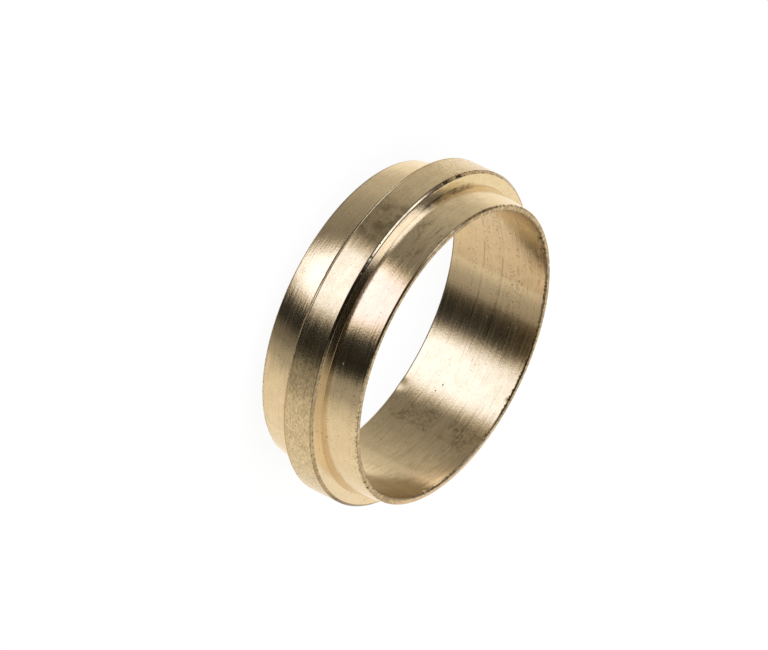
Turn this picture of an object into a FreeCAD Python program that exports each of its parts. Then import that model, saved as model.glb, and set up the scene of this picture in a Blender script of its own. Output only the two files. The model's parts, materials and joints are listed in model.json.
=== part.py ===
# Compression olive: the brass ring that seals a 28 mm pipe in a compression fitting.
# It is turned in one piece: a plain bore for the pipe, a thin crowned skirt at each end
# that wedges into a cone, and a raised collar in the middle that the nut drives.
# The ring stands on one end, with its axis on +Z and its origin in the middle of the lower end.

import FreeCAD
import Part
import math
import os

# Driving dimensions, in millimetres and degrees
BORE_DIAMETER = 28.2  # slides over a 28 mm pipe
OVERALL_LENGTH = 10.6
RIM_WALL = 0.6  # wall at the open end of each skirt
SKIRT_FALL = 0.4  # how far a skirt's outside falls from the collar to the rim
SKIRT_SLOPE = 4.0  # its slope beside the collar, from where it grows steeper towards the rim
COLLAR_HEIGHT = 1.4  # how far the collar stands above the skirts beside it
COLLAR_WIDTH = 3.3  # across the top of the collar, before its edges are broken
FLANK_LEAN = 3.0  # each flank of the collar leans this far from square
ROOT_RADIUS = 0.12  # tool-nose radius in the corner between flank and skirt
COLLAR_EDGE_BREAK = 0.2
RIM_EDGE_BREAK = 0.08

# Radii and heights worked out from them, with heights measured from the collar's middle
bore_radius = BORE_DIAMETER / 2
rim_radius = bore_radius + RIM_WALL
skirt_radius = rim_radius + SKIRT_FALL
collar_radius = skirt_radius + COLLAR_HEIGHT
rim_height = OVERALL_LENGTH / 2
corner_height = COLLAR_WIDTH / 2
lean = math.radians(FLANK_LEAN)
slope = math.radians(SKIRT_SLOPE)


def section_point(radius, height):
    """A point of the ring's section, which lies in the XZ plane."""
    return FreeCAD.Vector(radius, 0, rim_height + height)


def section_line(start, end):
    """A straight stretch of the section between two (radius, height) points."""
    return Part.makeLine(section_point(*start), section_point(*end))


def section_arc(centre, radius, start_angle, end_angle):
    """A round stretch of the section. Angles are counted from straight outwards towards the upper end."""
    angles = (start_angle, (start_angle + end_angle) / 2, end_angle)
    points = [
        section_point(centre[0] + radius * math.cos(angle), centre[1] + radius * math.sin(angle))
        for angle in angles
    ]
    return Part.Arc(*points).toShape()


def upper_outline():
    """The section's outline from the top of the collar, down the flank and along the skirt to the bore."""
    # Flank: a straight line from the collar's broken edge, leaning towards the rim
    top_edge = (collar_radius, corner_height - COLLAR_EDGE_BREAK)
    flank_start = (
        collar_radius - COLLAR_EDGE_BREAK * math.cos(lean),
        corner_height + COLLAR_EDGE_BREAK * math.sin(lean),
    )
    # Root: an arc that touches both the flank and the skirt
    root_centre_radius = skirt_radius + ROOT_RADIUS * math.cos(slope)
    root_centre_height = corner_height + (
        ROOT_RADIUS + (collar_radius - root_centre_radius) * math.sin(lean)
    ) / math.cos(lean)
    root_centre = (root_centre_radius, root_centre_height)
    flank_end = (
        root_centre_radius - ROOT_RADIUS * math.sin(lean),
        root_centre_height - ROOT_RADIUS * math.cos(lean),
    )
    # Skirt: an arc that leaves the root at its slope and has fallen to the rim's radius at the end
    skirt_start = (skirt_radius, root_centre_height - ROOT_RADIUS * math.sin(slope))
    skirt_end = (rim_radius, rim_height - RIM_EDGE_BREAK)
    skirt_length = skirt_end[1] - skirt_start[1]
    bend = math.atan2(SKIRT_FALL, skirt_length) - slope
    crown_radius = math.hypot(SKIRT_FALL, skirt_length) / (2 * math.sin(bend))
    crown_centre = (
        skirt_start[0] - crown_radius * math.cos(slope),
        skirt_start[1] - crown_radius * math.sin(slope),
    )
    # Rim: a flat end between two broken edges
    rim_outside = (rim_radius - RIM_EDGE_BREAK, rim_height)
    rim_inside = (bore_radius + RIM_EDGE_BREAK, rim_height)
    bore_end = (bore_radius, rim_height - RIM_EDGE_BREAK)
    return [
        section_line(top_edge, flank_start),
        section_line(flank_start, flank_end),
        section_arc(root_centre, ROOT_RADIUS, -math.pi / 2 - lean, -math.pi + slope),
        section_arc(crown_centre, crown_radius, slope, slope + 2 * bend),
        section_line(skirt_end, rim_outside),
        section_line(rim_outside, rim_inside),
        section_line(rim_inside, bore_end),
    ]


def ring_section():
    """The whole section: the upper outline, its mirror image, the top of the collar and the bore."""
    upper = upper_outline()
    lower = [edge.mirror(section_point(0, 0), FreeCAD.Vector(0, 0, 1)) for edge in upper]
    land = corner_height - COLLAR_EDGE_BREAK
    bore = rim_height - RIM_EDGE_BREAK
    collar_top = section_line((collar_radius, -land), (collar_radius, land))
    bore_wall = section_line((bore_radius, -bore), (bore_radius, bore))
    edges = Part.__sortEdges__(upper + lower + [collar_top, bore_wall])
    return Part.Face(Part.Wire(edges))


def olive():
    """The turned ring: the section spun once round its axis."""
    return ring_section().revolve(FreeCAD.Vector(0, 0, 0), FreeCAD.Vector(0, 0, 1), 360)


os.makedirs("parts", exist_ok=True)
ring = olive()
ring.exportStep("parts/olive.step")
print("olive: %.1f mm3, valid %s, %s" % (ring.Volume, ring.isValid(), ring.optimalBoundingBox()))
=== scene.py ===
import json
import math
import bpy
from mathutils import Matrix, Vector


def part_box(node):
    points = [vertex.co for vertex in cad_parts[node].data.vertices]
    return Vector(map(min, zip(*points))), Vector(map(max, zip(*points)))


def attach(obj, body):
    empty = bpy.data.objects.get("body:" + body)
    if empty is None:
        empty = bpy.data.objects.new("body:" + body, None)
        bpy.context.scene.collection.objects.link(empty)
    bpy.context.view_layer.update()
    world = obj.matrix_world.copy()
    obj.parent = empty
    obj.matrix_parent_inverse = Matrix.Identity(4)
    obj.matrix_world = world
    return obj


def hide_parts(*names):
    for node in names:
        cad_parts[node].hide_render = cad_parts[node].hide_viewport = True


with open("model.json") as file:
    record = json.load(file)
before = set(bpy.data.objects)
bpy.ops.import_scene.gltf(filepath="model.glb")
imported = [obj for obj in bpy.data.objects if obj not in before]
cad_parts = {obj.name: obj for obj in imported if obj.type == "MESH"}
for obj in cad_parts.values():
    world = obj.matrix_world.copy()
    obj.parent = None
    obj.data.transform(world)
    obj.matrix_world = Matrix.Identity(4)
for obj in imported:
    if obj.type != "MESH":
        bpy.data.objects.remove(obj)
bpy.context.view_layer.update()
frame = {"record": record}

from types import SimpleNamespace

import bpy
from mathutils import Matrix, Vector

# The olive: one ring turned from brass bar. Its bore slides over a 28 mm pipe, a thin crowned skirt
# at each end wedges into a cone, and the nut drives the collar in the middle. The lathe leaves fine
# rings all over it, the parting tool leaves rough ends, and handling nicks and darkens the edges.
# The brass colour also carries painted shade, painted highlights and painted dark reflections.
mm = 0.001
lowest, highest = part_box("olive")
mounts = {mount["name"]: mount for mount in frame["record"]["mounts"]}
collar_radius = mounts["collar_land"]["dims"]["r_mm"] * mm
bore_radius = mounts["pipe_bore"]["dims"]["r_mm"] * mm
half_length = (highest.z - lowest.z) / 2
middle_height = lowest.z + half_length
rim_wall = 0.6 * mm
skirt_fall = 0.4 * mm
skirt_slope = math.radians(4)
collar_width = 3.3 * mm
flank_lean = math.radians(3)
root_radius = 0.04 * mm
collar_edge_break = 0.2 * mm
rim_edge_break = 0.08 * mm
rim_radius = bore_radius + rim_wall
skirt_radius = rim_radius + skirt_fall
corner_height = collar_width / 2


def close_ends(steps):
    """Shares from 0 up to 1, closest together at both ends, where the edges wear."""
    return [(1 - math.cos(math.pi * step / steps)) / 2 for step in range(steps)]


def straight(start, end, steps):
    """Points from start towards end."""
    return [tuple(a + (b - a) * share for a, b in zip(start, end)) for share in close_ends(steps)]


def round_stretch(centre, radius, start_angle, end_angle, steps):
    """Points on an arc, with angles counted from straight outwards towards the upper end."""
    angles = [start_angle + (end_angle - start_angle) * share for share in close_ends(steps)]
    return [(centre[0] + radius * math.cos(a), centre[1] + radius * math.sin(a)) for a in angles]


def ring_section():
    """The closed section as (radius, height) points, with heights counted from the collar's middle."""
    top_edge = (collar_radius, corner_height - collar_edge_break)
    flank_start = (
        collar_radius - collar_edge_break * math.cos(flank_lean),
        corner_height + collar_edge_break * math.sin(flank_lean),
    )
    root_centre_radius = skirt_radius + root_radius * math.cos(skirt_slope)
    root_rise = root_radius + (collar_radius - root_centre_radius) * math.sin(flank_lean)
    root_centre = (root_centre_radius, corner_height + root_rise / math.cos(flank_lean))
    root_start = -math.pi / 2 - flank_lean
    root_end = -math.pi + skirt_slope
    flank_end = round_stretch(root_centre, root_radius, root_start, root_end, 1)[0]
    skirt_start = (skirt_radius, root_centre[1] - root_radius * math.sin(skirt_slope))
    skirt_end = (rim_radius, half_length - rim_edge_break)
    skirt_length = skirt_end[1] - skirt_start[1]
    bend = math.atan2(skirt_fall, skirt_length) - skirt_slope
    crown_radius = math.hypot(skirt_fall, skirt_length) / (2 * math.sin(bend))
    crown_centre = (
        skirt_start[0] - crown_radius * math.cos(skirt_slope),
        skirt_start[1] - crown_radius * math.sin(skirt_slope),
    )
    crown_end = skirt_slope + 2 * bend
    rim_outside = (rim_radius - rim_edge_break, half_length)
    rim_inside = (bore_radius + rim_edge_break, half_length)
    bore_end = (bore_radius, half_length - rim_edge_break)
    upper = [
        *straight(top_edge, flank_start, 4),
        *straight(flank_start, flank_end, 7),
        *round_stretch(root_centre, root_radius, root_start, root_end, 6),
        *round_stretch(crown_centre, crown_radius, skirt_slope, crown_end, 18),
        *straight(skirt_end, rim_outside, 3),
        *straight(rim_outside, rim_inside, 6),
        *straight(rim_inside, bore_end, 3),
    ]
    lower = [(radius, -height) for radius, height in reversed(upper)]
    bore = straight(bore_end, (bore_end[0], -bore_end[1]), 30)
    collar_top = straight((top_edge[0], -top_edge[1]), top_edge, 14)
    return [*upper, *bore, (bore_end[0], -bore_end[1]), *lower, *collar_top[1:]]


def link_or_set(tree, socket, value):
    """Feeds a node's input from another node's output, or sets it to a plain value."""
    if isinstance(value, bpy.types.NodeSocket):
        tree.links.new(value, socket)
    else:
        socket.default_value = value


def add_node(tree, kind, inputs=(), **settings):
    """A new node with its settings, and with its inputs, given by name or by number, linked or set."""
    node = tree.nodes.new(kind)
    for name, value in settings.items():
        setattr(node, name, value)
    for key, value in dict(inputs).items():
        link_or_set(tree, node.inputs[key], value)
    return node


def calc(tree, operation, *values):
    """The result of one step of arithmetic."""
    return add_node(tree, "ShaderNodeMath", enumerate(values), operation=operation).outputs["Value"]


def product(tree, first, *others):
    """All the values times each other."""
    for other in others:
        first = calc(tree, "MULTIPLY", first, other)
    return first


def greatest(tree, first, *others):
    """The greatest of the values."""
    for other in others:
        first = calc(tree, "MAXIMUM", first, other)
    return first


def vector(tree, operation, *values):
    """One step of arithmetic on vectors."""
    return add_node(tree, "ShaderNodeVectorMath", enumerate(values), operation=operation)


def remap(tree, value, low, high, start=0.0, end=1.0):
    """Carries value smoothly from start, at low, to end, at high."""
    inputs = {"Value": value, "From Min": low, "From Max": high, "To Min": start, "To Max": end}
    node = add_node(tree, "ShaderNodeMapRange", inputs, interpolation_type="SMOOTHSTEP")
    return node.outputs["Result"]


def blotches(tree, place, per_mm, detail=2.0):
    """Cloudy variation with no direction."""
    inputs = {"Vector": place, "Scale": per_mm / mm, "Detail": detail}
    return add_node(tree, "ShaderNodeTexNoise", inputs).outputs["Fac"]


def ring_place(tree, place, middle):
    """Splits a place into its heading out from the axis, its radius and its rise above the middle."""
    outward = vector(tree, "MULTIPLY", place, (1, 1, 0)).outputs["Vector"]
    heading = vector(tree, "NORMALIZE", outward).outputs["Vector"]
    radius = vector(tree, "LENGTH", outward).outputs["Value"]
    rise = add_node(tree, "ShaderNodeSeparateXYZ", {"Vector": place}).outputs["Z"]
    return heading, radius, calc(tree, "SUBTRACT", rise, middle)


def nearness(tree, radius, height, edge, reach):
    """1 within half of the reach from an edge, given as (radius, height), and 0 beyond its reach."""
    here = add_node(tree, "ShaderNodeCombineXYZ", {"X": radius, "Y": height}).outputs["Vector"]
    gap = vector(tree, "DISTANCE", here, (*edge, 0)).outputs["Value"]
    return remap(tree, gap, reach, reach / 2)


# The edges that wear, gather dirt and carry painted shade, each as its radius and its height from the middle
collar_edge = (collar_radius - collar_edge_break / 2, corner_height - collar_edge_break / 2.5)
collar_top_line = (collar_radius, corner_height - collar_edge_break)
collar_flank_line = (collar_radius - collar_edge_break, corner_height)
root_height = corner_height + (collar_radius - skirt_radius) * math.tan(flank_lean)
foot_width = 0.08 * mm
root_line = (skirt_radius, root_height)
foot_line = (skirt_radius, root_height + foot_width)
outer_rim_edge = (rim_radius - rim_edge_break / 2, half_length - rim_edge_break / 2)
inner_rim_edge = (bore_radius + rim_edge_break / 2, half_length - rim_edge_break / 2)
collar_wear_reach = 0.25 * mm
rim_wear_reach = 0.08 * mm


def turned_ring_tree():
    """Spins a section drawn in the XY plane, with X outwards from the bore, round Z and wears its edges."""
    tree = bpy.data.node_groups.new("turned_ring", "GeometryNodeTree")
    inputs = {
        "Section": "NodeSocketGeometry",
        "Bore Radius": "NodeSocketFloat",
        "Middle Height": "NodeSocketFloat",
        "Chip Depth": "NodeSocketFloat",
        "Nick Depth": "NodeSocketFloat",
        "Steps Around": "NodeSocketInt",
        "Finish": "NodeSocketMaterial",
    }
    for name, kind in inputs.items():
        tree.interface.new_socket(name, in_out="INPUT", socket_type=kind)
    tree.interface.new_socket("Ring", in_out="OUTPUT", socket_type="NodeSocketGeometry")
    sizes = add_node(tree, "NodeGroupInput").outputs
    circle = add_node(
        tree,
        "GeometryNodeCurvePrimitiveCircle",
        {"Resolution": sizes["Steps Around"], "Radius": sizes["Bore Radius"]},
        mode="RADIUS",
    )
    upright = add_node(tree, "GeometryNodeSetCurveNormal", {"Curve": circle.outputs["Curve"]}, mode="Z_UP")
    swept = add_node(
        tree,
        "GeometryNodeCurveToMesh",
        {"Curve": upright.outputs["Curve"], "Profile Curve": sizes["Section"]},
    )

    place = add_node(tree, "GeometryNodeInputPosition").outputs["Position"]
    radius, rise = ring_place(tree, place, 0)[1:]
    height = calc(tree, "ABSOLUTE", rise)
    edges = greatest(
        tree,
        nearness(tree, radius, height, collar_edge, collar_wear_reach),
        nearness(tree, radius, height, outer_rim_edge, rim_wear_reach),
        nearness(tree, radius, height, inner_rim_edge, rim_wear_reach),
    )
    chips = product(tree, blotches(tree, place, per_mm=3.2), sizes["Chip Depth"])
    nicks = remap(tree, blotches(tree, place, per_mm=1.2, detail=3), 0.62, 0.76)
    depth = calc(tree, "ADD", chips, product(tree, nicks, sizes["Nick Depth"]))
    inwards = product(tree, depth, edges, -1)
    normal = add_node(tree, "GeometryNodeInputNormal").outputs["Normal"]
    wear = add_node(tree, "ShaderNodeVectorMath", {0: normal, "Scale": inwards}, operation="SCALE")
    worn = add_node(
        tree,
        "GeometryNodeSetPosition",
        {"Geometry": swept.outputs["Mesh"], "Offset": wear.outputs["Vector"]},
    )

    lift = add_node(tree, "ShaderNodeCombineXYZ", {"Z": sizes["Middle Height"]})
    raised = add_node(
        tree,
        "GeometryNodeTransform",
        {"Geometry": worn.outputs["Geometry"], "Translation": lift.outputs["Vector"]},
    )
    smooth = add_node(tree, "GeometryNodeSetShadeSmooth", {"Geometry": raised.outputs["Geometry"]})
    whole = add_node(tree, "GeometryNodeRealizeInstances", {"Geometry": smooth.outputs["Geometry"]})
    finished = add_node(
        tree,
        "GeometryNodeSetMaterial",
        {"Geometry": whole.outputs["Geometry"], "Material": sizes["Finish"]},
    )
    add_node(tree, "NodeGroupOutput", {"Ring": finished.outputs["Geometry"]})
    return tree


def weighted_sum(tree, start, *shares):
    """Adds up start and each value times its weight."""
    for value, weight in shares:
        start = calc(tree, "ADD", start, product(tree, value, weight))
    return start


def swings(tree, start, *shares):
    """Adds up start and each value times its weight, with every value counted from one half."""
    counted = [(calc(tree, "SUBTRACT", value, 0.5), weight) for value, weight in shares]
    return weighted_sum(tree, start, *counted)


def apart_from(tree, mask, weight):
    """1 all over, and less by the weight where the mask is 1."""
    return calc(tree, "MULTIPLY_ADD", mask, -weight, 1)


def mix_colour(tree, factor, first, second):
    """Goes from the first colour to the second as factor goes from 0 to 1."""
    # The Mix node keeps its two colours at inputs 6 and 7, and gives the mixed colour at output 2
    inputs = {"Factor": factor, 6: first, 7: second}
    return add_node(tree, "ShaderNodeMix", inputs, data_type="RGBA").outputs[2]


def overlaid(tree, colour, layers):
    """Lays (mask, weight, colour) layers over a colour, one after the other."""
    for mask, weight, layer_colour in layers:
        colour = mix_colour(tree, product(tree, mask, weight), colour, layer_colour)
    return colour


def turned_marks(tree, at, across, spread, per_mm, detail):
    """Marks drawn out round the ring and spaced along across. A small spread makes them long."""
    side = add_node(tree, "ShaderNodeCombineXYZ", {"Z": product(tree, across, per_mm / mm)})
    place = vector(tree, "MULTIPLY_ADD", at.heading, (spread, spread, 0), side.outputs["Vector"])
    inputs = {"Vector": place.outputs["Vector"], "Scale": 1, "Detail": detail, "Roughness": 0.6}
    return add_node(tree, "ShaderNodeTexNoise", inputs).outputs["Fac"]


def facing(tree, at, angle, reach):
    """1 on the side of the ring that faces an angle, fading to 0 at its reach on both sides, in degrees."""
    turn = math.radians(angle)
    along = vector(tree, "DOT_PRODUCT", at.heading, (math.cos(turn), math.sin(turn), 0)).outputs["Value"]
    return remap(tree, along, math.cos(math.radians(reach)), math.cos(math.radians(reach * 0.6)))


def upper_edge(tree, at, edge, reach):
    """1 along an edge of the upper half of the ring, and 0 beyond its reach."""
    return nearness(tree, at.radius, at.rise, edge, reach)


def lower_edge(tree, at, edge, reach):
    """1 along an edge of the lower half of the ring, and 0 beyond its reach."""
    return nearness(tree, at.radius, at.drop, edge, reach)


def ring_surface(tree):
    """Where a point lies on the ring, and how far it belongs to each of the ring's faces, from 0 to 1."""
    at = SimpleNamespace()
    at.place = add_node(tree, "ShaderNodeTexCoord").outputs["Object"]
    at.heading, at.radius, at.rise = ring_place(tree, at.place, middle_height)
    at.drop = product(tree, at.rise, -1)
    height = calc(tree, "ABSOLUTE", at.rise)
    at.on_collar = remap(tree, at.radius, collar_radius - 0.25 * mm, collar_radius - 0.1 * mm)
    at.on_collar_edge = upper_edge(tree, at, collar_edge, 0.24 * mm)
    at.in_bore = remap(tree, at.radius, bore_radius + 0.06 * mm, bore_radius + 0.02 * mm)
    at.on_end = remap(tree, height, half_length - 0.06 * mm, half_length - 0.02 * mm)
    flank_height = corner_height + 0.1 * mm
    flank_gap = calc(tree, "ABSOLUTE", calc(tree, "SUBTRACT", height, flank_height))
    beyond_root = remap(tree, at.radius, skirt_radius + 0.04 * mm, skirt_radius + 0.14 * mm)
    at.on_flank = product(tree, remap(tree, flank_gap, 0.25 * mm, 0.14 * mm), beyond_root)
    # The side where the flank catches the light, which gets a painted highlight
    half_painted_highlight = product(tree, facing(tree, at, -40, 60), 0.5)
    at.pale_side = greatest(tree, facing(tree, at, -120, 28), half_painted_highlight)
    return at


def lathe_marks(tree, at):
    """Rings, scores and streaks all round, ticks across the ends and a mottled skin on the collar."""
    marks = SimpleNamespace()
    across = weighted_sum(tree, at.rise, (at.radius, 1.4))
    marks.rings = turned_marks(tree, at, across, spread=2, per_mm=9, detail=3)
    marks.scores = turned_marks(tree, at, across, spread=3, per_mm=8, detail=2)
    marks.streaks = turned_marks(tree, at, across, spread=9, per_mm=5, detail=3)
    marks.ticks = turned_marks(tree, at, at.radius, spread=60, per_mm=1.5, detail=2)
    marks.clouds = blotches(tree, at.place, per_mm=0.8, detail=3)
    marks.grain = blotches(tree, at.place, per_mm=6.0)
    peel = turned_marks(tree, at, at.rise, spread=44, per_mm=5.2, detail=3)
    peeled_most = greatest(tree, facing(tree, at, -28, 62), facing(tree, at, 180, 36))
    peeled = product(tree, at.on_collar, calc(tree, "MULTIPLY_ADD", peeled_most, 0.8, 0.2))
    marks.collar_peel = product(tree, calc(tree, "SUBTRACT", peel, 0.5), peeled)
    return marks


def black_edge_lines(tree, at):
    """Dirt in thin black lines along the edges, broken into speckles on most of the ring, with painted dark
    reflections.
    """
    speckles = remap(tree, blotches(tree, at.place, per_mm=3.5, detail=3), 0.44, 0.62, start=0.1)
    speckles = greatest(tree, speckles, facing(tree, at, -112, 45))
    thinner = apart_from(tree, facing(tree, at, -30, 55), 0.4)
    rim_stretch = greatest(
        tree,
        facing(tree, at, -85, 38),
        facing(tree, at, -170, 26),
        facing(tree, at, -40, 52),
    )
    upper_lines = greatest(
        tree,
        upper_edge(tree, at, collar_top_line, 0.08 * mm),
        upper_edge(tree, at, collar_flank_line, 0.08 * mm),
        product(tree, upper_edge(tree, at, outer_rim_edge, 0.15 * mm), rim_stretch),
    )
    upper_lines = product(tree, upper_lines, speckles, thinner)

    jags = remap(tree, blotches(tree, at.place, per_mm=4.5, detail=2), 0.5, 0.6)
    jags = product(tree, jags, upper_edge(tree, at, inner_rim_edge, 0.24 * mm))
    inner_line = product(tree, upper_edge(tree, at, inner_rim_edge, 0.12 * mm), 0.85)
    inner_line = product(tree, greatest(tree, inner_line, jags), facing(tree, at, 95, 105))
    # Painted dark reflection: a broad black line on the collar's upper edge where it faces 6 degrees
    broad_painted_dark_line = product(tree, at.on_collar_edge, facing(tree, at, 6, 18), 0.75)

    lower_stretch = product(tree, facing(tree, at, -40, 60), speckles)
    lower_stretch = greatest(tree, facing(tree, at, -150, 44), lower_stretch)
    lower_lines = greatest(
        tree,
        product(tree, lower_edge(tree, at, outer_rim_edge, 0.2 * mm), lower_stretch),
        product(tree, lower_edge(tree, at, inner_rim_edge, 0.16 * mm), facing(tree, at, 125, 75)),
        # Painted dark reflection along the lower collar edge where it faces -103 degrees
        product(tree, lower_edge(tree, at, collar_top_line, 0.12 * mm), facing(tree, at, -103, 14)),
    )
    return greatest(tree, upper_lines, inner_line, broad_painted_dark_line, product(tree, lower_lines, 0.8))


def edge_dirt_and_painted_shade(tree, at):
    """Dirt on the edges, apart from a rubbed bright stretch of the collar's upper edge, with painted shade
    and painted dark reflections.
    """
    dirt_and_shade = SimpleNamespace()
    rubbed_stretch = facing(tree, at, -123, 20)
    patches = remap(tree, blotches(tree, at.place, per_mm=2.6, detail=3), 0.36, 0.62, start=0.65)
    dirt_and_shade.rubbed = product(tree, at.on_collar_edge, rubbed_stretch)
    dirt_and_shade.collar = product(tree, at.on_collar_edge, apart_from(tree, rubbed_stretch, 0.95), patches)
    # Painted shade: brown patches on the outer rim edge on the side where it would catch the fill light
    brown_stretch = facing(tree, at, -130, 34)
    dirt_and_shade.rim = product(tree, upper_edge(tree, at, outer_rim_edge, 0.2 * mm), brown_stretch, patches)
    dirt_and_shade.black_lines = black_edge_lines(tree, at)
    return dirt_and_shade


def painted_dark_patches(tree, at):
    """Painted dark reflections in streaky patches at the upper flank's foot, on the collar, upper skirt and
    in the bore, and painted shade along its root.
    """
    painted_dark = SimpleNamespace()
    foot_patches = turned_marks(tree, at, at.rise, spread=14, per_mm=1.2, detail=2)
    on_foot = product(tree, upper_edge(tree, at, foot_line, 0.45 * mm), facing(tree, at, -148, 17))
    painted_dark.foot = product(tree, on_foot, remap(tree, foot_patches, 0.28, 0.66))
    # Painted shade in the root's crease, weaker on the side with the painted flank highlight
    on_root = upper_edge(tree, at, root_line, 0.1 * mm)
    painted_dark.root = product(tree, on_root, apart_from(tree, at.pale_side, 0.6))
    collar_patches = turned_marks(tree, at, at.rise, spread=16, per_mm=0.9, detail=8)
    on_collar = product(tree, at.on_collar, facing(tree, at, -119.5, 10))
    painted_dark.collar = product(tree, on_collar, remap(tree, collar_patches, 0.36, 0.66))
    skirt_streaks = turned_marks(tree, at, at.rise, spread=12, per_mm=2.4, detail=5)
    beyond_root = remap(tree, at.rise, root_height + 0.3 * mm, root_height + 0.6 * mm)
    on_skirt = product(tree, beyond_root, apart_from(tree, at.in_bore, 1), facing(tree, at, -122, 16))
    painted_dark.skirt = product(tree, on_skirt, remap(tree, skirt_streaks, 0.50, 0.66))
    bore_patches = turned_marks(tree, at, at.rise, spread=10, per_mm=0.45, detail=3)
    bore_clouds = remap(tree, blotches(tree, at.place, per_mm=3.2, detail=4), 0.36, 0.64)
    on_bore = product(tree, at.in_bore, facing(tree, at, 62, 8))
    painted_dark.bore = product(tree, on_bore, remap(tree, bore_patches, 0.44, 0.60), bore_clouds)
    return painted_dark


def bore_marks(tree, at):
    """What the boring tool left: chatter, two broken dark lines, fine scores and rubbed scores, with painted
    highlights.
    """
    bore = SimpleNamespace()
    chatter_stretch = facing(tree, at, 142, 36)
    chatter = turned_marks(tree, at, at.rise, spread=42, per_mm=4.0, detail=3)
    chatter_rings = turned_marks(tree, at, at.rise, spread=1, per_mm=1.5, detail=1)
    chatter = product(tree, remap(tree, chatter, 0.52, 0.64), remap(tree, chatter_rings, 0.46, 0.60))
    bore.chatter = product(tree, chatter, at.in_bore, chatter_stretch)
    lines = []
    for line_height in (0.4 * mm, -1.7 * mm):
        gap = calc(tree, "ABSOLUTE", calc(tree, "SUBTRACT", at.rise, line_height))
        lines.append(remap(tree, gap, 0.12 * mm, 0.03 * mm))
    breaks = turned_marks(tree, at, at.rise, spread=9, per_mm=0.4, detail=3)
    broken = product(tree, greatest(tree, *lines), remap(tree, breaks, 0.34, 0.56))
    bore.tool_lines = product(tree, broken, at.in_bore, facing(tree, at, 140, 50))
    scores = turned_marks(tree, at, at.rise, spread=5, per_mm=6, detail=3)
    scored_side = apart_from(tree, chatter_stretch, 0.7)
    bore.scores = product(tree, remap(tree, scores, 0.56, 0.70), at.in_bore, scored_side)
    bright_scores = turned_marks(tree, at, at.rise, spread=7, per_mm=5, detail=2)
    bright_scores = product(tree, remap(tree, bright_scores, 0.62, 0.72), facing(tree, at, 50, 30))
    # Painted highlights where the bore faces 30 and 120 degrees, with rubbed scores where it faces 50
    # degrees
    rubbed = greatest(tree, facing(tree, at, 30, 10), facing(tree, at, 120, 8), bright_scores)
    bore.rubbed = product(tree, rubbed, at.in_bore)
    return bore


def pits_and_specks(tree, at):
    """Pits all over, and dark specks that crowd along one stretch of the upper rim."""
    cells = add_node(tree, "ShaderNodeTexVoronoi", {"Vector": at.place, "Scale": 0.6 / mm})
    pits = remap(tree, cells.outputs["Distance"], 0.055, 0.03)
    specks = remap(tree, blotches(tree, at.place, per_mm=4.5, detail=1), 0.68, 0.76)
    rim_specks = remap(tree, blotches(tree, at.place, per_mm=4.5, detail=2), 0.58, 0.68)
    by_rim = product(tree, remap(tree, at.rise, 4.3 * mm, 5.0 * mm), facing(tree, at, -40, 60))
    return pits, greatest(tree, specks, product(tree, rim_specks, by_rim))


def brass_with_painted_light(tree, at, marks):
    """The metal lighter and darker by its marks, with rough ends, painted shade and a painted highlight and
    reflection.
    """
    # Painted shade: the collar darker, less so where it faces -134 degrees, and the whole bore darker, more
    # so towards its upper mouth where it faces 116 degrees
    collar_painted_shade = product(tree, at.on_collar, apart_from(tree, facing(tree, at, -134, 16), 0.5))
    towards_mouth = remap(tree, at.rise, -2.0 * mm, 5.0 * mm)
    bore_mouth_painted_shade = product(tree, at.in_bore, towards_mouth, facing(tree, at, 116, 36))
    shade = swings(
        tree,
        0.78,
        (marks.clouds, 0.5),
        (marks.rings, 0.35),
        (marks.grain, 0.5),
        (marks.streaks, 0.4),
    )
    shade = weighted_sum(
        tree,
        shade,
        (marks.collar_peel, 2.1),
        (collar_painted_shade, -0.34),
        (at.in_bore, -0.16),
        (bore_mouth_painted_shade, -0.2),
    )
    dark_brass = (0.43, 0.34, 0.19, 1)
    light_brass = (0.82, 0.68, 0.455, 1)
    painted_flank_highlight = (0.76, 0.63, 0.50, 1)
    painted_warm_reflection = (0.66, 0.46, 0.27, 1)
    dark_tick = (0.20, 0.15, 0.085, 1)
    light_tick = (0.61, 0.45, 0.27, 1)
    pale_end = (0.80, 0.60, 0.43, 1)
    worn_end = mix_colour(tree, remap(tree, marks.ticks, 0.3, 0.7), dark_tick, light_tick)
    worn_end = mix_colour(tree, product(tree, facing(tree, at, 42, 38), 0.6), worn_end, pale_end)
    layers = (
        # Painted highlight: the flank paler on the side where it catches the fill light
        (product(tree, at.on_flank, at.pale_side), 1.0, painted_flank_highlight),
        # Painted reflection: the upper side of the bore tinted warmer
        (product(tree, at.in_bore, facing(tree, at, 131, 26)), 0.35, painted_warm_reflection),
        (at.on_end, 0.8, worn_end),
    )
    return overlaid(tree, mix_colour(tree, shade, dark_brass, light_brass), layers)


def scored_normal(tree, tangent, scores):
    """Tilts the surface a little round the ring, each score its own way, so that reflections break up."""
    swing = calc(tree, "SUBTRACT", scores, 0.5)
    steepness = calc(tree, "MULTIPLY_ADD", product(tree, swing, swing), 1.8, 0.05)
    tilt = product(tree, swing, steepness)
    lean = add_node(tree, "ShaderNodeVectorMath", {0: tangent, "Scale": tilt}, operation="SCALE")
    normal = add_node(tree, "ShaderNodeNewGeometry").outputs["Normal"]
    leaning = vector(tree, "ADD", normal, lean.outputs["Vector"]).outputs["Vector"]
    return vector(tree, "NORMALIZE", leaning).outputs["Vector"]


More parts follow.
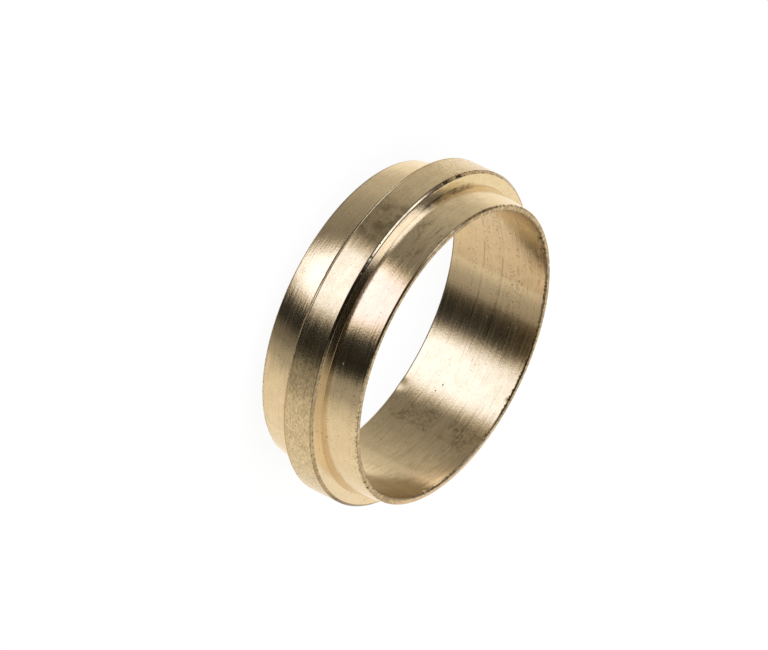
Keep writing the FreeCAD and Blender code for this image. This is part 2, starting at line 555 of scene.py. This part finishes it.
def turned_brass():
    """Lathe-turned pale brass: fine rings, a mottled collar, pits, dark edges, rough ends and painted light
    and shade.
    """
    material = bpy.data.materials.new("turned_brass")
    material.use_nodes = True
    tree = material.node_tree
    shader = tree.nodes["Principled BSDF"]
    at = ring_surface(tree)
    marks = lathe_marks(tree, at)
    dirt_and_shade = edge_dirt_and_painted_shade(tree, at)
    painted_dark = painted_dark_patches(tree, at)
    bore = bore_marks(tree, at)
    pits, specks = pits_and_specks(tree, at)
    nicks = add_node(tree, "ShaderNodeAttribute", attribute_name="nick").outputs["Fac"]
    nicks = remap(tree, swings(tree, nicks, (marks.grain, 1.3)), 0.25, 0.8)
    lip = lower_edge(tree, at, collar_top_line, 0.2 * mm)
    # Painted shade: the burr along the lower collar edge browned to dim its reflections, apart from where it
    # faces -74 degrees
    lip_painted_shade = product(tree, lip, apart_from(tree, facing(tree, at, -74, 22), 1))

    # Each layer is a place, how strongly the layer covers it, and the layer's colour
    painted_dark_colour = (0.25, 0.20, 0.11, 1)
    layers = (
        (dirt_and_shade.rubbed, 0.9, (0.82, 0.61, 0.35, 1)),
        (dirt_and_shade.collar, 0.85, (0.31, 0.21, 0.105, 1)),
        # Painted shade on the outer rim edge
        (dirt_and_shade.rim, 0.95, (0.24, 0.155, 0.07, 1)),
        # Painted shade on the burr
        (lip_painted_shade, 0.8, (0.50, 0.36, 0.19, 1)),
        # Painted dark reflections, where the collar, skirt and bore mirror the same dark stretch of the tent
        (painted_dark.collar, 0.7, painted_dark_colour),
        (painted_dark.skirt, 0.5, painted_dark_colour),
        (painted_dark.bore, 0.62, painted_dark_colour),
        # Rubbed scores and painted highlights in the bore
        (bore.rubbed, 0.7, (0.86, 0.715, 0.48, 1)),
        (bore.scores, 0.4, (0.30, 0.22, 0.13, 1)),
        # Painted shade along the root
        (painted_dark.root, 0.8, (0.54, 0.37, 0.20, 1)),
        # Painted dark reflection at the foot of the upper flank
        (painted_dark.foot, 0.65, (0.15, 0.115, 0.055, 1)),
        (bore.tool_lines, 0.42, (0.20, 0.15, 0.09, 1)),
        (bore.chatter, 0.32, (0.28, 0.21, 0.12, 1)),
        (specks, 0.5, (0.16, 0.115, 0.06, 1)),
        # Dirt lines with painted dark reflections
        (dirt_and_shade.black_lines, 0.92, (0.07, 0.046, 0.022, 1)),
        (pits, 0.8, (0.09, 0.055, 0.03, 1)),
        (nicks, 1.0, (0.04, 0.026, 0.012, 1)),
    )
    tree.links.new(overlaid(tree, brass_with_painted_light(tree, at, marks), layers), shader.inputs["Base Color"])

    rough = weighted_sum(
        tree,
        remap(tree, marks.rings, 0.3, 0.7, start=0.13, end=0.20),
        (at.on_collar, 0.04),
        (at.in_bore, 0.05),
        (at.on_end, 0.25),
        (dirt_and_shade.collar, -0.04),
        (dirt_and_shade.black_lines, 0.15),
        (nicks, 0.3),
    )
    tree.links.new(rough, shader.inputs["Roughness"])

    # The relief is in millimetres
    relief = swings(tree, 0.0, (marks.rings, 0.003), (marks.grain, 0.005), (marks.streaks, 0.004))
    relief = weighted_sum(
        tree,
        relief,
        (marks.collar_peel, 0.008),
        (product(tree, marks.ticks, at.on_end), 0.02),
        (pits, -0.03),
        (lip, 0.036),
        (bore.chatter, -0.008),
    )
    tangent = add_node(tree, "ShaderNodeTangent", direction_type="RADIAL", axis="Z").outputs["Tangent"]
    tree.links.new(tangent, shader.inputs["Tangent"])
    scored = scored_normal(tree, tangent, marks.scores)
    bump = add_node(
        tree,
        "ShaderNodeBump",
        {"Strength": 1, "Distance": mm, "Height": relief, "Normal": scored},
    )
    tree.links.new(bump.outputs["Normal"], shader.inputs["Normal"])
    shader.inputs["Metallic"].default_value = 1
    shader.inputs["Anisotropic"].default_value = 0.3
    shader.inputs["Anisotropic Rotation"].default_value = 0.25
    return material


section_curve = bpy.data.curves.new("olive_section", "CURVE")
section_points = ring_section()
outline = section_curve.splines.new("POLY")
outline.points.add(len(section_points) - 1)
for point, (radius, height) in zip(outline.points, section_points):
    point.co = (radius - bore_radius, height, 0, 1)
outline.use_cyclic_u = True
lathe = bpy.data.objects.new("olive_lathe", section_curve)
bpy.context.scene.collection.objects.link(lathe)
spin = lathe.modifiers.new("spin", "NODES")
spin.node_group = turned_ring_tree()
spin_values = {
    "Bore Radius": bore_radius,
    "Middle Height": middle_height,
    "Chip Depth": 0.02 * mm,
    "Nick Depth": 0.05 * mm,
    "Steps Around": 640,
    "Finish": turned_brass(),
}
for socket in spin.node_group.interface.items_tree:
    if socket.in_out == "INPUT" and socket.name in spin_values:
        spin[socket.identifier] = spin_values[socket.name]
turned = lathe.evaluated_get(bpy.context.evaluated_depsgraph_get())
olive_mesh = bpy.data.meshes.new_from_object(turned)
bpy.data.objects.remove(lathe)
nick_shares = olive_mesh.attributes.new("nick", "FLOAT", "POINT").data


def fading(gap, reach):
    """1 where there is no gap, falling smoothly to 0 at the reach."""
    return (1 + math.cos(math.pi * gap / reach)) / 2


def dent(mesh, angle, radius, height, reach, depth):
    """Presses the ring in round an angle, radius and height from the middle, and soils it there."""
    turn = math.radians(angle)
    place = Vector((radius * math.cos(turn), radius * math.sin(turn), middle_height + height))
    gaps = {vertex.index: (vertex.co - place).length for vertex in mesh.vertices}
    touched = {index: gap for index, gap in gaps.items() if gap < reach}
    normals = {index: mesh.vertices[index].normal.copy() for index in touched}
    for index, gap in touched.items():
        share = fading(gap, reach)
        mesh.vertices[index].co -= normals[index] * depth * share
        nick_shares[index].value = max(nick_shares[index].value, share)


# Each nick's angle in degrees and its depth in millimetres
collar_nicks = {-145.2: 0.04, -146.4: 0.03, -152.0: 0.05, -153.3: 0.05}
inner_rim_nicks = {28.6: 0.14, 156.6: 0.10, 150.0: 0.07, -12.0: 0.07, 84.0: 0.05}
outer_rim_nicks = {-15.8: 0.08, -20.0: 0.06, 140.0: 0.06, -150.0: 0.07}
nicked_edges = (
    (collar_edge, 0.4 * mm, collar_nicks),
    (inner_rim_edge, 0.35 * mm, inner_rim_nicks),
    (outer_rim_edge, 0.3 * mm, outer_rim_nicks),
)
for edge, reach, edge_nicks in nicked_edges:
    for angle, depth in edge_nicks.items():
        dent(olive_mesh, angle, *edge, reach, depth * mm)

# A small burr that stands into the bore at the lower end
burr_angle = math.radians(71.5)
burr_reach = 1.0 * mm
burr_height = 0.06 * mm
burr_heading = Vector((math.cos(burr_angle), math.sin(burr_angle), 0))
burr_place = burr_heading * bore_radius + Vector((0, 0, lowest.z))
for vertex in olive_mesh.vertices:
    gap = (vertex.co - burr_place).length
    if gap < burr_reach:
        vertex.co -= burr_heading * burr_height * fading(gap, burr_reach)
olive = bpy.data.objects.new("turned_olive", olive_mesh)
bpy.context.scene.collection.objects.link(olive)
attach(olive, "root")
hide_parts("olive")

# The studio: a plain white floor under the ring, a tent of white cloth round it with lit and dark
# stretches, and one softbox overhead. The floor would fill the ring's outside with plain white, so it
# stays out of the reflections, and the lower half of the tent shows there instead.
floor_reach = 2.0
floor_level = lowest.z
floor_corners = [
    (-floor_reach, -floor_reach, floor_level),
    (floor_reach, -floor_reach, floor_level),
    (floor_reach, floor_reach, floor_level),
    (-floor_reach, floor_reach, floor_level),
]
floor_mesh = bpy.data.meshes.new("floor")
floor_mesh.from_pydata(floor_corners, [], [(0, 1, 2, 3)])
floor = bpy.data.objects.new("floor", floor_mesh)
bpy.context.scene.collection.objects.link(floor)
paper_colour = (0.9, 0.9, 0.9, 1)
plain_white_share = 0.93


def white_floor():
    """White paper that looks mostly plain white to the camera, and to mirrors and glass that see it."""
    material = bpy.data.materials.new("white_floor")
    material.use_nodes = True
    tree = material.node_tree
    paper = tree.nodes["Principled BSDF"]
    paper.inputs["Base Color"].default_value = paper_colour
    looks = add_node(tree, "ShaderNodeLightPath").outputs
    seen = greatest(tree, looks["Is Camera Ray"], looks["Is Glossy Ray"], looks["Is Transmission Ray"])
    glow = add_node(tree, "ShaderNodeEmission", {"Color": (1, 1, 1, 1), "Strength": 1})
    share = product(tree, seen, plain_white_share)
    both = add_node(tree, "ShaderNodeMixShader", {0: share, 1: paper.outputs[0], 2: glow.outputs[0]})
    tree.links.new(both.outputs[0], tree.nodes["Material Output"].inputs["Surface"])
    return material


floor_mesh.materials.append(white_floor())
floor.visible_glossy = False
floor.visible_shadow = False

world = bpy.data.worlds.new("tent")
bpy.context.scene.world = world
world.use_nodes = True
sky = world.node_tree
background = sky.nodes["Background"]
direction = add_node(sky, "ShaderNodeTexCoord").outputs["Generated"]
direction_parts = add_node(sky, "ShaderNodeSeparateXYZ", {"Vector": direction}).outputs
direction_rise = direction_parts["Z"]


def tent_band(levels, tint):
    """How bright the tent is all the way round, from its level at some azimuths in degrees."""
    turn = add_node(sky, "ShaderNodeTexGradient", {"Vector": direction}, gradient_type="RADIAL")
    ramp = add_node(sky, "ShaderNodeValToRGB", {"Fac": turn.outputs["Fac"]})
    stops = ramp.color_ramp.elements
    for number, (azimuth, level) in enumerate(levels.items()):
        share = (azimuth + 180) / 360
        stop = stops[number] if number < 2 else stops.new(share)
        stop.position = share
        stop.color = (level * tint[0], level * tint[1], level * tint[2], 1)
    return ramp.outputs["Color"]


lower_levels = {
    -180: 0.52,
    -166: 0.38,
    -150: 0.29,
    -136: 0.24,
    -78: 0.08,
    -74: 0.03,
    -51: 0.015,
    -46: 0.07,
    -41: 0.36,
    -34: 0.42,
    -30: 0.38,
    -21: 0.70,
    -10: 0.88,
    20: 0.94,
    60: 0.96,
    98: 1.06,
    122: 1.06,
    136: 1.00,
    148: 0.78,
    158: 0.62,
    180: 0.52,
}
upper_levels = {
    -180: 0.16,
    -128: 0.10,
    -115: 0.02,
    -48: 0.015,
    -40: 0.40,
    -30: 0.78,
    -10: 0.97,
    10: 1.09,
    30: 1.30,
    50: 1.20,
    70: 1.00,
    110: 1.00,
    130: 0.96,
    150: 0.18,
    170: 0.12,
    180: 0.16,
}
lower_tent = tent_band(lower_levels, tint=(1.09, 1.0, 0.86))
upper_front = tent_band(upper_levels, tint=(1.0, 1.0, 0.98))
upper_back = tent_band(upper_levels, tint=(1.06, 1.0, 0.83))
at_back = remap(sky, direction_parts["Y"], 0.3, 0.75)
upper_tent = mix_colour(sky, at_back, upper_front, upper_back)
tent = mix_colour(sky, remap(sky, direction_rise, 0.38, 0.52), lower_tent, upper_tent)


def lit_patch(azimuth, elevation, half_width, half_height, softness):
    """An oval of lit cloth, its size in degrees: 1 inside it and 0 outside, with a soft edge."""
    turn, rise = math.radians(azimuth), math.radians(elevation)
    toward = Vector((math.cos(turn) * math.cos(rise), math.sin(turn) * math.cos(rise), math.sin(rise)))
    sideways = Vector((-math.sin(turn), math.cos(turn), 0))
    upward = toward.cross(sideways)
    share_across = vector(sky, "DOT_PRODUCT", direction, sideways / math.sin(math.radians(half_width)))
    share_up = vector(sky, "DOT_PRODUCT", direction, upward / math.sin(math.radians(half_height)))
    spot = {"X": share_across.outputs["Value"], "Y": share_up.outputs["Value"]}
    offset = add_node(sky, "ShaderNodeCombineXYZ", spot).outputs["Vector"]
    gap = vector(sky, "LENGTH", offset).outputs["Value"]
    ahead = vector(sky, "DOT_PRODUCT", direction, toward).outputs["Value"]
    inside = remap(sky, gap, 1 + softness, 1 - softness)
    return product(sky, inside, calc(sky, "GREATER_THAN", ahead, 0.0))


low_glow = lit_patch(azimuth=-46, elevation=-48, half_width=6, half_height=16, softness=0.5)
fill = lit_patch(azimuth=-157, elevation=32, half_width=23.5, half_height=31, softness=0.16)
key_glow = lit_patch(azimuth=-101.5, elevation=-23.5, half_width=23.5, half_height=26, softness=0.2)
key_core = lit_patch(azimuth=-101.5, elevation=-23.5, half_width=19.5, half_height=23, softness=0.18)
key_height = remap(sky, direction_rise, -0.42, -0.25)
key_colour = mix_colour(sky, key_height, (1.88, 2.04, 2.62, 1), (1.56, 1.52, 2.02, 1))
straight_below = remap(sky, direction_rise, -0.85, -0.93)
spot_below = lit_patch(azimuth=0, elevation=-90, half_width=15, half_height=15, softness=0.4)
tent_stretches = (
    (low_glow, (0.22, 0.20, 0.17, 1)),
    (fill, (1.95, 2.25, 2.95, 1)),
    (key_glow, (1.20, 1.05, 0.85, 1)),
    (key_core, key_colour),
    (straight_below, (0.05, 0.046, 0.04, 1)),
    (spot_below, (1.5, 1.4, 1.2, 1)),
)
for stretch, stretch_colour in tent_stretches:
    tent = mix_colour(sky, stretch, tent, stretch_colour)
sky.links.new(tent, background.inputs["Color"])

# The softbox hangs straight above the ring and faces down. At a level of 1 its panel would be plain white.
softbox_distance = 0.3
softbox_half_angle = math.radians(40)
softbox_level = 2.0
softbox = bpy.data.lights.new("overhead_softbox", "AREA")
softbox.shape = "ELLIPSE"
softbox.size = 2 * softbox_distance * math.tan(softbox_half_angle)
softbox.size_y = softbox.size
softbox.energy = softbox_level * math.pi * (math.pi / 4 * softbox.size * softbox.size_y)
softbox.color = (1, 0.98, 0.94)
overhead = bpy.data.objects.new("overhead_softbox", softbox)
overhead.location = (0, 0, middle_height + softbox_distance)
overhead.visible_camera = False
overhead.visible_glossy = False
bpy.context.scene.collection.objects.link(overhead)

# The camera: a long lens that looks down on the upper end and is rolled, so that the ring's axis
# falls to the right in the picture.
picture_width = 768
view_elevation = math.radians(27.197)
axis_slant = math.radians(25.94)
camera_distance = 749.55 * mm
rim_radius_in_pixels = 162.6
pixel = rim_radius / rim_radius_in_pixels
offset_right = 2.065 * mm + pixel / 2
offset_down = 0.65 * mm + pixel / 2
sensor = 36.0
lens_data = bpy.data.cameras.new("camera")
lens_data.sensor_width = sensor
lens_data.lens = sensor * camera_distance / pixel / picture_width
lens_data.clip_end = 10
camera = bpy.data.objects.new("camera", lens_data)
bpy.context.scene.collection.objects.link(camera)
forward = Vector((0, math.cos(view_elevation), -math.sin(view_elevation)))
level_right = Vector((1, 0, 0))
level_up = Vector((0, math.sin(view_elevation), math.cos(view_elevation)))
roll = math.pi / 2 + axis_slant
right = math.cos(roll) * level_right + math.sin(roll) * level_up
up = -math.sin(roll) * level_right + math.cos(roll) * level_up
camera.matrix_world = Matrix((right, up, -forward)).transposed().to_4x4()
ring_middle = Vector((0, 0, middle_height))
camera.location = ring_middle - forward * camera_distance - right * offset_right + up * offset_down
bpy.context.scene.camera = camera
bpy.context.scene.view_settings.view_transform = "Standard"
